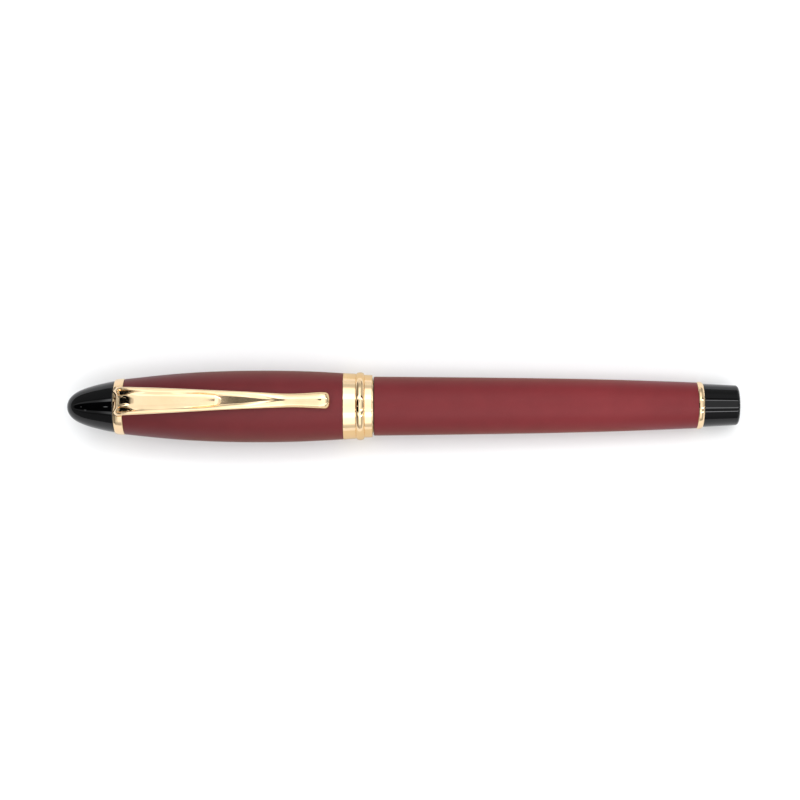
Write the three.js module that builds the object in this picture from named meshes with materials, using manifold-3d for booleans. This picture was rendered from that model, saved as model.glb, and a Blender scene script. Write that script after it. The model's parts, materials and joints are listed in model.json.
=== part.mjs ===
// A snap-cap fountain pen with a cartridge converter, as an assembly of separate pieces.
// Millimetres, right-handed, +Z up. The pen lies along X: the cap's finial points to -X (front)
// and the barrel's tail to +X (back). The origin is the centre of the barrel's flat tail face, on
// the pen's axis, and the clip stands up on +Z. The nib and feed lie inside the capped pen.
import * as THREE from 'three';
import { mergeVertices } from 'three/addons/utils/BufferGeometryUtils.js';
import Module from 'manifold-3d';

const wasm = await Module();
wasm.setup();

// ---------------------------------------------------------------- driving dimensions
const LENGTH = 138;            // capped pen, finial tip to tail face
const FINE = 24;               // facets round the outer pieces and the running fits
const SMALL = 16;              // facets round the small inner pieces
const COARSE = 12;             // facets round the piston rod, feed slots and breather hole

// Stations along the axis, measured from the tail face
const X_FINIAL = -128;         // finial meets the clip ring
const X_CAP_TOP = -126;        // clip ring meets the cap tube
const X_NIB_TIP = -119.8;      // front end of the nib sheet
const X_GRIP_END = -99;        // front rim of the grip
const X_BAND = -81.15;         // cap tube meets the cap band
const X_SHOULDER = -76.6;      // shoulder of the grip, where the section ring seats
const X_LIP = -75.05;          // open lip of the cap band
const X_MOUTH = -74.9;         // front edge of the barrel
const X_TAIL_RING = -8.36;     // barrel tube meets the tail ring
const X_TAIL_PLUG = -7.12;     // tail ring meets the tail plug
const SEAM = 0.03;             // gap left where two outer pieces meet

// Radii
const R_INSERT = 5.27;         // outside of the brass insert
const R_INSERT_POCKET = R_INSERT + 0.05;
const R_INSERT_CREST = 4.64;
const R_INSERT_ROOT = 4.85;
const R_TAIL_HOLE = 2.04;      // hole for the tail plug's stem
const R_THREAD = 4.55;         // crest of the section's thread
const R_THREAD_ROOT = 4.28;
const R_SLEEVE_BORE = 3.74;
const R_SECTION_RING = 5.62;
const R_SECTION_RING_BORE = 4.76;
const R_HOUSING = 3.3;
const R_HOUSING_POCKET = R_HOUSING + 0.05;
const R_HOUSING_BORE = 2.92;
const R_STUD = 1.95;           // finial stud
const R_STUD_CLEAR = R_STUD + 0.09;
const R_CAP_HOLE = 2.1;        // stud hole in the clip ring and cap tube
const R_LINER = 6.1;           // outside of the cap liner
const R_TUBE_BORE = 6.17;      // back of the cap tube's bore
const R_CAP_MOUTH = 5.78;      // bore at the back of the liner and in the cap band

// Threads, modelled as rings
const THREAD_RINGS = 4;
const THREAD_PITCH = 0.8;      // section thread
const ROD_RINGS = 12;
const ROD_LEAD = 2.6;          // piston rod: one turn of the knob

// ---------------------------------------------------------------- helpers
// A body of revolution about the pen's axis from a closed outline of [x, radius] points. A facet
// lies flat at the top and at the bottom.
function turned(outline, facets = FINE) {
  const points = outline.map(([x, radius]) => new THREE.Vector2(radius, x));
  const onAxis = points[0].x === 0 && points[points.length - 1].x === 0;
  // LatheGeometry faces outward only when the outline runs anticlockwise
  if (THREE.ShapeUtils.area(points) < 0) points.reverse();
  if (!onAxis) points.push(points[0].clone());
  const geometry = new THREE.LatheGeometry(points, facets, Math.PI / facets);
  geometry.rotateZ(-Math.PI / 2);
  return geometry;
}

// A Manifold solid from a geometry, with its seams welded.
function solid(geometry) {
  geometry.deleteAttribute('normal');
  geometry.deleteAttribute('uv');
  const welded = mergeVertices(geometry, 1e-4);
  return new wasm.Manifold(new wasm.Mesh({
    numProp: 3,
    vertProperties: new Float32Array(welded.attributes.position.array),
    triVerts: new Uint32Array(welded.index.array),
  }));
}

function geometryOf(manifold) {
  const mesh = manifold.getMesh();
  const geometry = new THREE.BufferGeometry();
  const positions = new Float32Array(mesh.vertProperties);
  geometry.setAttribute('position', new THREE.BufferAttribute(positions, 3));
  geometry.setIndex(new THREE.BufferAttribute(new Uint32Array(mesh.triVerts), 1));
  geometry.computeVertexNormals();
  return geometry;
}

const turnedSolid = (outline, facets) => solid(turned(outline, facets));

// A solid box from its [low, high] range on each axis.
function block([x0, x1], [y0, y1], [z0, z1]) {
  const geometry = new THREE.BoxGeometry(x1 - x0, y1 - y0, z1 - z0);
  geometry.translate((x0 + x1) / 2, (y0 + y1) / 2, (z0 + z1) / 2);
  return solid(geometry);
}

// A solid with a grid of vertices at each station along X. place(x, v, w) gives a vertex's
// [x, y, z], where v runs from -1 to 1 across the piece and w from -1 to 1 up it.
function lofted(stations, acrossSteps, upSteps, place) {
  const last = stations.length - 1;
  const geometry = new THREE.BoxGeometry(2, 2, 2, last, acrossSteps, upSteps);
  const grid = geometry.attributes.position;
  for (let i = 0; i < grid.count; i++) {
    const x = stations[Math.round(((grid.getX(i) + 1) / 2) * last)];
    grid.setXYZ(i, ...place(x, grid.getY(i), grid.getZ(i)));
  }
  return solid(geometry);
}

// Linear interpolation in a table of [x, value] rows that spans x.
function interpolate(table, x) {
  const next = Math.max(1, table.findIndex(([station]) => station >= x));
  const [x0, value0] = table[next - 1];
  const [x1, value1] = table[next];
  return value0 + ((value1 - value0) * (x - x0)) / (x1 - x0);
}

// Rises from 0 to 1 over a length that begins at start.
const ramp = (x, start, length) => Math.min(1, Math.max(0, (x - start) / length));

// Half-round profile: 1 at t = 0, falling to 0 at t = -1 and 1.
const arch = (t) => Math.sqrt(Math.max(0, 1 - t * t));

// Outline points of thread rings: each slopes from one radius to the other over its width.
function threadRings({ start, count, pitch, width, from, to }) {
  return Array.from({ length: count }, (_, i) => start + i * pitch)
    .flatMap((x) => [[x, from], [x + width, to]]);
}

// ---------------------------------------------------------------- materials
const material = (settings) => new THREE.MeshStandardMaterial(settings);
const plastic = (settings) => material({ metalness: 0, ...settings });
const metal = (settings) => material({ metalness: 1, ...settings });

const FINISH = {
  satinBurgundy: plastic({ color: 0x74262f, roughness: 0.5 }),
  glossBlack: plastic({ color: 0x08080a, roughness: 0.08 }),
  matteBlack: plastic({ color: 0x141416, roughness: 0.55 }),
  clearPlastic: plastic({ color: 0xdfe6e8, roughness: 0.1, transparent: true, opacity: 0.35 }),
  greyPlastic: plastic({ color: 0xa8abad, roughness: 0.45 }),
  goldPlate: metal({ color: 0xe7bd6a, roughness: 0.12 }),
  rawBrass: metal({ color: 0xb08d4a, roughness: 0.35 }),
  tipAlloy: metal({ color: 0xc9c9cc, roughness: 0.2 }),
};

const pen = new THREE.Group();

function assembly() {
  const group = new THREE.Group();
  pen.add(group);
  return group;
}

function add(group, name, finish, geometry) {
  const mesh = new THREE.Mesh(geometry, finish);
  mesh.name = name;
  group.add(mesh);
}

// ================================================================ barrel
// Outlines from here on are closed loops of [x, radius].
const barrel = assembly();

add(barrel, 'barrel_tube', FINISH.satinBurgundy, turned([
  [X_MOUTH, R_INSERT_POCKET], [X_MOUTH, 5.6], [-74.6, 5.93], [-73.9, 6.07], [-60, 5.92],
  [-45, 5.74], [-32, 5.48], [-20, 5.14], [X_TAIL_RING, 4.72], [X_TAIL_RING, R_TAIL_HOLE],
  [-12.3, R_TAIL_HOLE], [-12.3, 4.1], [-20, 4.5], [-45, 5.1], [-64.9, 5.24],
  [-64.9, R_INSERT_POCKET],
]));

// The insert's thread stands clear of the section's thread.
add(barrel, 'barrel_insert', FINISH.rawBrass, turned([
  [-74.7, R_INSERT_ROOT],
  ...threadRings({
    start: -74.1, count: THREAD_RINGS, pitch: THREAD_PITCH, width: 0.5,
    from: R_INSERT_CREST, to: R_INSERT_ROOT,
  }),
  [-70.6, R_INSERT_CREST], [-65.2, R_INSERT_CREST], [-65.2, R_INSERT], [-74.7, R_INSERT],
]));

add(barrel, 'tail_ring', FINISH.goldPlate, turned([
  [X_TAIL_RING + SEAM, R_TAIL_HOLE], [X_TAIL_RING + SEAM, 4.74], [-8, 4.87], [-7.5, 4.85],
  [X_TAIL_PLUG - SEAM, 4.6], [X_TAIL_PLUG - SEAM, R_TAIL_HOLE],
]));

add(barrel, 'tail_plug', FINISH.glossBlack, turned([
  [-12.2, 0], [-12.2, 1.7], [-11.9, 1.98], [X_TAIL_PLUG, 1.98], [X_TAIL_PLUG, 4.44],
  [-0.75, 4.12], [-0.2, 3.9], [0, 3.45], [0, 0],
]));

// ================================================================ section
const section = assembly();

add(section, 'section_ring', FINISH.goldPlate, turned([
  [X_SHOULDER + 0.04, R_SECTION_RING_BORE], [X_SHOULDER + 0.04, 5.42], [-76.3, 5.57],
  [-75.95, R_SECTION_RING], [-75.6, 5.57], [-75.35, 5.46], [-74.96, 5.46],
  [-74.96, R_SECTION_RING_BORE],
]));

// A sleeve in the back of the grip carries the section's thread.
add(section, 'section_thread', FINISH.rawBrass, turned([
  [-83.1, R_SLEEVE_BORE], [-83.1, R_THREAD_ROOT], [-73.3, R_THREAD_ROOT],
  ...threadRings({
    start: -73.2, count: THREAD_RINGS, pitch: THREAD_PITCH, width: 0.4,
    from: R_THREAD_ROOT, to: R_THREAD,
  }),
  [-70, R_THREAD_ROOT], [-66.3, R_THREAD_ROOT], [-66, 4.05], [-66, R_SLEEVE_BORE],
]));

// The grip tapers to a flared rim; its back is bored for the sleeve, its front for the housing.
add(section, 'section_grip', FINISH.glossBlack, turned([
  [X_GRIP_END, R_HOUSING_POCKET], [X_GRIP_END, 4.15], [-98.7, 4.46], [-98.1, 4.54],
  [-96.4, 4.38], [-94.5, 4.38], [-90, 4.58], [-84, 4.94], [-78.5, 5.27], [-76.9, 5.36],
  [X_SHOULDER, 5.28], [X_SHOULDER, 4.36], [-83.25, 4.36], [-83.25, 1.4], [-83.95, 1.4],
  [-83.95, R_HOUSING_POCKET],
]));

// The nib housing: a sleeve round the nib and feed, with a back wall and the hollow post that the
// converter pushes on to.
add(section, 'nib_housing', FINISH.matteBlack, turned([
  [-98.7, R_HOUSING_BORE], [-98.7, R_HOUSING], [-84.1, R_HOUSING], [-84.1, 1.25],
  [-78.2, 1.15], [-77.8, 0.9], [-77.8, 0.5], [-85.6, 0.5], [-85.6, R_HOUSING_BORE],
]));

// ---- feed: a rod that fits the housing and tapers under the nib in front, with air fins
const FEED_STATIONS = [-114.2, -113.2, -112, -110.3, -108, -106, -103, -100, -86];
// [x, height of the top]
const FEED_TOP = [
  [-114.2, 0.75], [-112, 1.3], [-108, 1.95], [-104, 2.2], [-100, 2.3], [-86, 2.3],
];
// [x, height of the underside]
const FEED_BOTTOM = [
  [-114.2, 0.35], [-113, -0.35], [-110.5, -1.35], [-107, -2.05], [-103, -2.38], [-86, -2.4],
];
// [x, half width]
const FEED_HALF = [
  [-114.2, 0.4], [-112, 1], [-108, 1.9], [-104, 2.3], [-100, 2.4], [-86, 2.4],
];
const SLOT = { count: 6, back: -100.4, pitch: 1.2, width: 0.45, coreRadius: 1.2, top: 0.5 };

// Carries the square grid on to an ellipse.
function placeFeed(x, v, w) {
  const shrink = Math.max(Math.abs(v), Math.abs(w)) / (Math.hypot(v, w) || 1);
  const top = interpolate(FEED_TOP, x);
  const bottom = interpolate(FEED_BOTTOM, x);
  const z = (top + bottom) / 2 + (w * shrink * (top - bottom)) / 2;
  return [x, v * shrink * interpolate(FEED_HALF, x), z];
}

// A slot round the sides and the underside that leaves the core.
function feedSlot(back) {
  const front = back - SLOT.width;
  const outside = 4;
  return turnedSolid([
    [front, SLOT.coreRadius], [front, outside], [back, outside], [back, SLOT.coreRadius],
  ], COARSE).subtract(block([back - 1, back + 1], [-outside, outside], [SLOT.top, 5]));
}

function makeFeed() {
  let feed = lofted(FEED_STATIONS, 4, 4, placeFeed);
  for (let i = 0; i < SLOT.count; i++) {
    feed = feed.subtract(feedSlot(SLOT.back - i * SLOT.pitch));
  }
  return geometryOf(feed);
}
add(section, 'feed', FINISH.matteBlack, makeFeed());

// ---- nib: a sheet bent over the feed, with a breather hole and a slit to the tip
const NIB_STATIONS = [
  X_NIB_TIP, -118.4, -116.6, -114.5, -111.5, -108.6, -106.6, -105.2, -103.8, -102, -100.4,
  -99.2, -91,
];
// [x, half width]
const NIB_HALF = [
  [X_NIB_TIP, 0.42], [-118.8, 0.62], [-117, 0.95], [-114.5, 1.5], [-111.5, 2.25],
  [-108.6, 2.98], [-106.6, 3.42], [-105.2, 3.55], [-103.8, 3.45], [-102, 3.1],
  [-100.4, 2.72], [-99.2, 2.6], [-91, 2.6],
];
// [x, height of the crest]
const NIB_TOP = [
  [X_NIB_TIP, 1.02], [-118, 1.38], [-115, 1.95], [-111, 2.5], [-107, 2.78], [-103, 2.85],
  [-91, 2.86],
];
// [x, radius of the bend]
const NIB_RADIUS = [
  [X_NIB_TIP, 2.4], [-114, 2.8], [-108, 3.5], [-104, 3.62], [-100.6, 3], [-99.2, 2.86],
  [-91, 2.86],
];
const NIB_SHEET = 0.36;
const NIB_MAX_SPREAD = 0.97;   // greatest half width, as a share of the bend's radius
const BREATHER = { x: -108.9, radius: 0.62, height: 6 };
const SLIT = { back: -109.2, half: 0.06 };

function placeNib(x, v, w) {
  const bend = interpolate(NIB_RADIUS, x);
  const half = Math.min(interpolate(NIB_HALF, x), bend * NIB_MAX_SPREAD);
  const angle = v * Math.asin(half / bend);
  const radius = w < 0 ? bend - NIB_SHEET : bend;
  const z = interpolate(NIB_TOP, x) - bend + radius * Math.cos(angle);
  return [x, radius * Math.sin(angle), z];
}

function makeNib() {
  const { x, radius, height } = BREATHER;
  const hole = new THREE.CylinderGeometry(radius, radius, height, COARSE);
  hole.rotateX(Math.PI / 2);
  hole.translate(x, 0, height / 2);
  const slit = block([X_NIB_TIP - 1, SLIT.back], [-SLIT.half, SLIT.half], [-3, 5]);
  return geometryOf(lofted(NIB_STATIONS, 8, 1, placeNib).subtract(slit).subtract(solid(hole)));
}
add(section, 'nib', FINISH.goldPlate, makeNib());

// ---- the hard alloy writing tip at the nib's end
function makeNibTip() {
  const ball = new THREE.SphereGeometry(0.5, 10, 8);
  ball.scale(1.15, 1, 0.85);
  ball.translate(X_NIB_TIP - 0.61, 0, 0.78);
  return ball;
}
add(section, 'nib_tip', FINISH.tipAlloy, makeNibTip());

// ================================================================ cap
const cap = assembly();

add(cap, 'cap_finial', FINISH.glossBlack, turned([
  [-LENGTH, 0], [-137.8, 1.2], [-137.1, 2.25], [-135.9, 3.14], [-134.3, 3.82], [-132.2, 4.5],
  [-130.2, 4.96], [X_FINIAL - SEAM, 5.32], [X_FINIAL - SEAM, 2.02], [-133, 2.02], [-133, 0],
]));

add(cap, 'finial_stud', FINISH.rawBrass, turned([
  [-132.8, 0], [-132.8, R_STUD], [-122.9, R_STUD], [-122.6, 1.7], [-122.6, 0],
], SMALL));

// The clip ring has a slot at the top for the tab under the clip's foot.
const ringBody = turnedSolid([
  [X_FINIAL + SEAM, R_CAP_HOLE], [X_FINIAL + SEAM, 5.5], [-127.6, 5.7], [-126.9, 5.78],
  [-126.3, 5.79], [X_CAP_TOP - SEAM, 5.74], [X_CAP_TOP - SEAM, R_CAP_HOLE],
]);
const ringSlot = block([-127.6, -126.3], [-1.3, 1.3], [3, 7]);
add(cap, 'clip_ring', FINISH.goldPlate, geometryOf(ringBody.subtract(ringSlot)));

add(cap, 'cap_tube', FINISH.satinBurgundy, turned([
  [X_CAP_TOP, 5.68], [-124.5, 5.86], [-122, 6.14], [-118, 6.53], [-114, 6.87], [-109, 7.155],
  [-103, 7.335], [-97, 7.375], [-91, 7.28], [-86, 7.09], [X_BAND - SEAM, 6.8],
  [X_BAND - SEAM, R_TUBE_BORE], [-84, 6.25], [-91, 6.66], [-97, 6.77], [-103, 6.73],
  [-109, 6.54], [-114, 6.22], [-120, 5.6], [-124.2, 5.15], [-124.2, R_CAP_HOLE],
  [X_CAP_TOP, R_CAP_HOLE],
]));

// The liner encloses the nib; a step in its bore faces the grip's front rim.
add(cap, 'cap_liner', FINISH.matteBlack, turned([
  [-124.1, R_STUD_CLEAR], [-124.1, 4.58], [-120.2, 5.12], [-116.2, 5.6],
  [-112.2, R_LINER - 0.02], [-77.85, R_LINER], [-77.85, R_CAP_MOUTH], [-79.2, 5.72],
  [-98.9, 5.5], [-99.35, 5.2], [-99.35, 4.45], [-112, 4.2], [-120.4, 3.75], [-121.9, 2.6],
  [-121.9, R_STUD_CLEAR],
]));

// Cap band: a broad collar, a raised bead between two fine grooves, and a narrower lip.
const BEAD = { x: -77.6, radius: 6.5, halfLength: 0.78, height: 0.48, steps: 4 };
const bandBead = Array.from({ length: BEAD.steps + 1 }, (_, i) => {
  const angle = Math.PI * (1 - i / BEAD.steps);
  return [
    BEAD.x + BEAD.halfLength * Math.cos(angle),
    BEAD.radius + BEAD.height * Math.sin(angle),
  ];
});
add(cap, 'cap_band', FINISH.goldPlate, turned([
  [X_BAND, R_TUBE_BORE], [X_BAND, 6.76], [-80.9, 6.84], [-78.62, 6.68], [-78.5, 6.5],
  ...bandBead,
  [-76.7, 6.36], [-76.58, 6.46], [-75.25, 6.43], [X_LIP, 6.28], [X_LIP, 5.88],
  [-75.25, R_CAP_MOUTH], [-77.7, R_CAP_MOUTH], [-77.7, R_TUBE_BORE],
]));

// ---- clip: a tapered bar with a raised tongue between two beads, a narrow neck and a rounded end
const X_CLIP_FRONT = -127.5;
const X_CLIP_BACK = -83.67;
const X_TONGUE_END = -105.8;
const X_FOOT_END = -126.1;     // the foot rests on the clip ring in front of this
const CLIP_STATIONS = [
  X_CLIP_FRONT, -127.2, -126.3, -125.4, -124, -121.5, -117, -111, -107, X_TONGUE_END, -105.4,
  -100, -96, -92.8, -89, -87, -85.4, -84.3, X_CLIP_BACK,
];
// [x, half width]
const CLIP_HALF = [
  [X_CLIP_FRONT, 2.3], [-127.2, 2.68], [-126.2, 2.88], [-125.4, 2.88], [-120, 2.69],
  [-116.9, 2.55], [-111, 2.27], [-105.5, 2], [-101.8, 1.82], [-97, 1.58], [-92.8, 1.415],
  [-88.9, 1.5], [-85.6, 1.72], [-84.8, 1.72], [-84.2, 1.5], [X_CLIP_BACK, 0.8],
];
// [x, height of the top, with the relief]
const CLIP_TOP = [
  [X_CLIP_FRONT, 6.75], [-127.2, 7.35], [-126.3, 7.95], [-125.4, 8.22], [-124, 8.5],
  [-122, 8.74], [-120, 8.88], [-115, 9.12], [-110, 9.26], [-105, 9.32], [-100, 9.3],
  [-95, 9.18], [-91, 9], [-88, 8.82], [-86, 8.72], [-84.8, 8.6], [-84.1, 8.36],
  [X_CLIP_BACK, 8],
];
// [x, height of the underside]
const CLIP_UNDER = [
  [X_FOOT_END, 5.92], [-125.2, 6.5], [-124, 6.95], [-122, 7.4], [-120, 7.68], [-115, 8.06],
  [-110, 8.28], [-105, 8.38], [-100, 8.38], [-95, 8.24], [-92, 8.02], [-89.5, 7.72],
  [-87.5, 7.4], [-86.2, 7.22], [-85.4, 7.18], [-84.6, 7.2], [-84, 7.35], [X_CLIP_BACK, 7.6],
];
const CLIP_REST = 5.9;         // radius to which the foot is curved
const CLIP_REST_GAP = 0.08;    // lift of the foot's underside above that radius
const CLIP_WRAP = 0.75;        // share of the ring's curve that the rest of the clip takes
const CLIP_RELIEF = 0.34;      // height of the beads and of the neck's crown
const TONGUE_HEIGHT = 0.36;
const CLIP_EDGE_DROP = 0.3;    // how far the top's long edges are let down

function placeClip(x, v, w) {
  const y = v * interpolate(CLIP_HALF, x);
  const side = Math.abs(v);
  // how far the round ring falls away at this y
  const fall = CLIP_REST - Math.sqrt(CLIP_REST ** 2 - y * y);
  if (w < 0) {
    if (x < X_FOOT_END) return [x, y, CLIP_REST + CLIP_REST_GAP - fall];
    const curve = CLIP_WRAP * (1 - ramp(x, X_FOOT_END, 8));
    return [x, y, interpolate(CLIP_UNDER, x) - fall * curve];
  }
  const neck = ramp(x, -98, 5);
  const bead = CLIP_RELIEF * arch((side - 0.8) / 0.22) * (1 - neck);
  const tongue = x <= X_TONGUE_END ? TONGUE_HEIGHT * arch(side / 0.5) : 0;
  const crown = CLIP_RELIEF * arch(side) * neck;
  const drop = fall * CLIP_WRAP * (1 - ramp(x, X_CLIP_FRONT, 12));
  const edge = side > 0.99 ? CLIP_EDGE_DROP : 0;
  const base = interpolate(CLIP_TOP, x) - CLIP_RELIEF - drop - edge;
  return [x, y, base + Math.max(bead, tongue, crown)];
}

const clipTab = block([-127.25, -126.65], [-1, 1], [3.5, 6.4]);
const clip = lofted(CLIP_STATIONS, 12, 1, placeClip).add(clipTab);
add(cap, 'clip', FINISH.goldPlate, geometryOf(clip));

// ================================================================ converter
const converter = assembly();
const R_CONV_TUBE = 3.55;
const R_CONV_BORE = 3;
const R_CONV_PLUG = R_CONV_BORE - 0.07;    // what fits inside the tube
const R_COLLAR_BORE = R_CONV_TUBE + 0.04;
const R_GUIDE_FLANGE = R_CONV_TUBE - 0.04;
const X_CONV_FRONT = -79.5;                // ends of the converter tube
const X_CONV_BACK = -49;
const X_GUIDE_FRONT = -52;
const X_GUIDE_BACK = -48.4;
const R_ROD = 1.3;                         // crest of the piston rod's thread
const R_ROD_ROOT = 1.05;
const ROD_FLAT = 0.95;                     // from the axis to each flat, along Y
const ROD_GAP = 0.1;                       // between the rod and the guide

// Two bars that keep what lies beyond a distance from the axis on +Y and -Y.
const sideBlocks = (xs, near, far, zs) => block(xs, [near, far], zs)
  .add(block(xs, [-far, -near], zs));

add(converter, 'converter_mouth', FINISH.greyPlastic, turned([
  [-82.6, 1.35], [-82.6, 3.2], [-82.2, 3.4], [-79.55, 3.45], [-79.55, R_CONV_PLUG],
  [-77.2, 2.9], [-77.2, 2.2], [-77.6, 1.35],
], SMALL));

add(converter, 'converter_tube', FINISH.clearPlastic, turned([
  [X_CONV_FRONT, R_CONV_BORE], [X_CONV_FRONT, R_CONV_TUBE], [X_CONV_BACK, R_CONV_TUBE],
  [X_CONV_BACK, R_CONV_BORE],
]));

// The guide closes the tube behind; its bore has two flats that stop the rod from turning.
function makeGuide() {
  const bore = R_ROD + ROD_GAP;
  const body = turnedSolid([
    [X_GUIDE_FRONT, bore], [X_GUIDE_FRONT, R_CONV_PLUG], [-48.95, R_CONV_PLUG],
    [-48.95, R_GUIDE_FLANGE], [X_GUIDE_BACK, R_GUIDE_FLANGE], [X_GUIDE_BACK, bore],
  ], SMALL);
  const bar = turnedSolid([
    [X_GUIDE_FRONT, 0], [X_GUIDE_FRONT, 2], [X_GUIDE_BACK, 2], [X_GUIDE_BACK, 0],
  ], SMALL);
  const flats = bar.intersect(sideBlocks([-53, -48], ROD_FLAT + ROD_GAP, 4, [-4, 4]));
  return geometryOf(body.add(flats));
}
add(converter, 'converter_guide', FINISH.matteBlack, makeGuide());

add(converter, 'converter_collar', FINISH.goldPlate, turned([
  [-50.6, R_COLLAR_BORE], [-50.6, 3.76], [-50.4, 3.85], [-31.4, 3.85], [-31.1, 3.7],
  [-31.1, 2.78], [-32.2, 2.78], [-32.2, R_COLLAR_BORE],
]));

add(converter, 'knob_spindle', FINISH.matteBlack, turned([
  [-48.2, 1.4], [-48.2, 2.65], [-34.3, 2.65], [-34.3, 3.4], [-32.4, 3.4], [-32.4, 2.65],
  [-31, 2.65], [-31, 2.28], [-22.2, 2.28], [-22.2, 1.5], [-44, 1.5], [-44, 1.4],
], SMALL));

// The knob: ribs for the fingers, a plain front collar and a rounded closed end.
const RIBS = { count: 14, front: -28.9, length: 9.2 };
// One rib: [share of the rib pitch, radius]
const RIB_PROFILE = [[0.05, 3.42], [0.3, 3.68], [0.7, 3.68], [0.95, 3.42]];

function knobRibs() {
  const points = [];
  for (let i = 0; i < RIBS.count; i++) {
    for (const [share, radius] of RIB_PROFILE) {
      const angle = ((i + share) / RIBS.count) * 2 * Math.PI;
      points.push(new THREE.Vector2(radius * Math.cos(angle), radius * Math.sin(angle)));
    }
  }
  const shape = new THREE.Shape(points);
  shape.closePath();
  const ribs = new THREE.ExtrudeGeometry(shape, {
    depth: RIBS.length, bevelEnabled: false, steps: 1,
  });
  ribs.rotateY(Math.PI / 2);
  ribs.translate(RIBS.front, 0, 0);
  return solid(ribs);
}

const knobCore = turnedSolid([
  [-30.8, 0], [-30.8, 3.45], [-30.5, 3.62], [-28.6, 3.62], [-28.5, 3.2], [-20, 3.2],
  [-19.8, 3.62], [-18.6, 3.5], [-18, 2.6], [-18, 0],
]);
const knobBore = turnedSolid([
  [-31.5, 0], [-31.5, 2.38], [-22, 2.38], [-22, 1.6], [-19.4, 1.6], [-19.4, 0],
], SMALL);
const knob = knobCore.add(knobRibs()).subtract(knobBore);
add(converter, 'converter_knob', FINISH.glossBlack, geometryOf(knob));

// The piston rod: a coarse thread with two flats, and a stub in front that carries the seal.
const rodBody = turnedSolid([
  [-55.4, 0], [-55.4, 1.05], [-54.4, 1.05], [-54.4, 0.75], [-52.15, 0.75],
  [-52.15, R_ROD_ROOT],
  ...threadRings({
    start: -51.4, count: ROD_RINGS, pitch: ROD_LEAD, width: ROD_LEAD / 2,
    from: R_ROD_ROOT, to: R_ROD,
  }),
  [-21, 0.85], [-21, 0],
], COARSE);
const rodFlats = sideBlocks([-52.1, -20], ROD_FLAT, 3, [-3, 3]);
add(converter, 'piston_rod', FINISH.greyPlastic, geometryOf(rodBody.subtract(rodFlats)));

add(converter, 'piston_seal', FINISH.matteBlack, turned([
  [-56.2, 0], [-56.2, 2.7], [-56, R_CONV_PLUG], [-55.5, R_CONV_PLUG], [-55.2, 2.6],
  [-53.3, 2.6], [-53, R_CONV_PLUG], [-52.5, R_CONV_PLUG], [-52.3, 2.7], [-52.3, 0.82],
  [-54.3, 0.82], [-54.3, 1.12], [-55.5, 1.12], [-55.5, 0],
], SMALL));

export default pen;
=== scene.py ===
"""A capped fountain pen with its nib, feed and converter inside.

The pen's axis is X: the finial's tip is at x = -138 and the barrel's tail at x = 0. The nib points
to -X and the clip lies on top, towards +Z. Shapes are in millimetres and become metres when a
mesh is made. Shaders, lights, floor and camera are in metres.
"""
import json
import math

import bmesh
import bpy
import numpy as np
from mathutils import Matrix, Vector


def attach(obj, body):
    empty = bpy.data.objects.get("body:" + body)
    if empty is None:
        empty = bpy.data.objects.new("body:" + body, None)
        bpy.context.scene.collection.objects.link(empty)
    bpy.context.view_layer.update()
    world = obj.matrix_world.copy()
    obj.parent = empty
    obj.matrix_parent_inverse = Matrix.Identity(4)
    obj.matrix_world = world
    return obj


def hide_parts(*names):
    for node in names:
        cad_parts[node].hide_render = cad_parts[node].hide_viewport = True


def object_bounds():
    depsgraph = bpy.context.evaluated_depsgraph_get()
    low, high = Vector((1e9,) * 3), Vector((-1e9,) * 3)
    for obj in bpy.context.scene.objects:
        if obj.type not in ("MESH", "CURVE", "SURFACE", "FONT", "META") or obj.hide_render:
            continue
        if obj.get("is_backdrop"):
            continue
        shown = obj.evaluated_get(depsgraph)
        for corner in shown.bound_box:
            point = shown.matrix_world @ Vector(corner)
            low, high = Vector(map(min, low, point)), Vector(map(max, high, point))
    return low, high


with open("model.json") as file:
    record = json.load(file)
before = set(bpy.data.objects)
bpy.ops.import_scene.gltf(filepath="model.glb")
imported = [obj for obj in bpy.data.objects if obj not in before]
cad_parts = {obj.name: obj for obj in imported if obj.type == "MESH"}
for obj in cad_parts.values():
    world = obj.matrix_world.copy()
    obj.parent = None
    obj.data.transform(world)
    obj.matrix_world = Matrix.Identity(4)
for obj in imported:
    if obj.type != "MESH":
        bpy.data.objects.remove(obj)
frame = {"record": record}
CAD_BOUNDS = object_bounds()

MM = 0.001
SEGMENTS = 160  # round a turned piece, unless it says otherwise
SHARP_ANGLE = 35  # degrees
CORNER_HOLD = 0.03  # distance of a shading point from its corner
TINY = 1e-6

# places shared between pieces
FINIAL_TIP = -138
CAP_END = -126.0  # the cap tube's closed end
CAP_LIP = -81.18
CAP_BORE = 6.17  # radius of the cap tube where it sits on the band
BARREL_MOUTH = -74.90
BARREL_TAIL = -8.58
STUD_BORE = 2.1  # radius of the hole through the cap's end
TAIL_BORE = 2.04
THREAD_PITCH = 0.8


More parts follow.
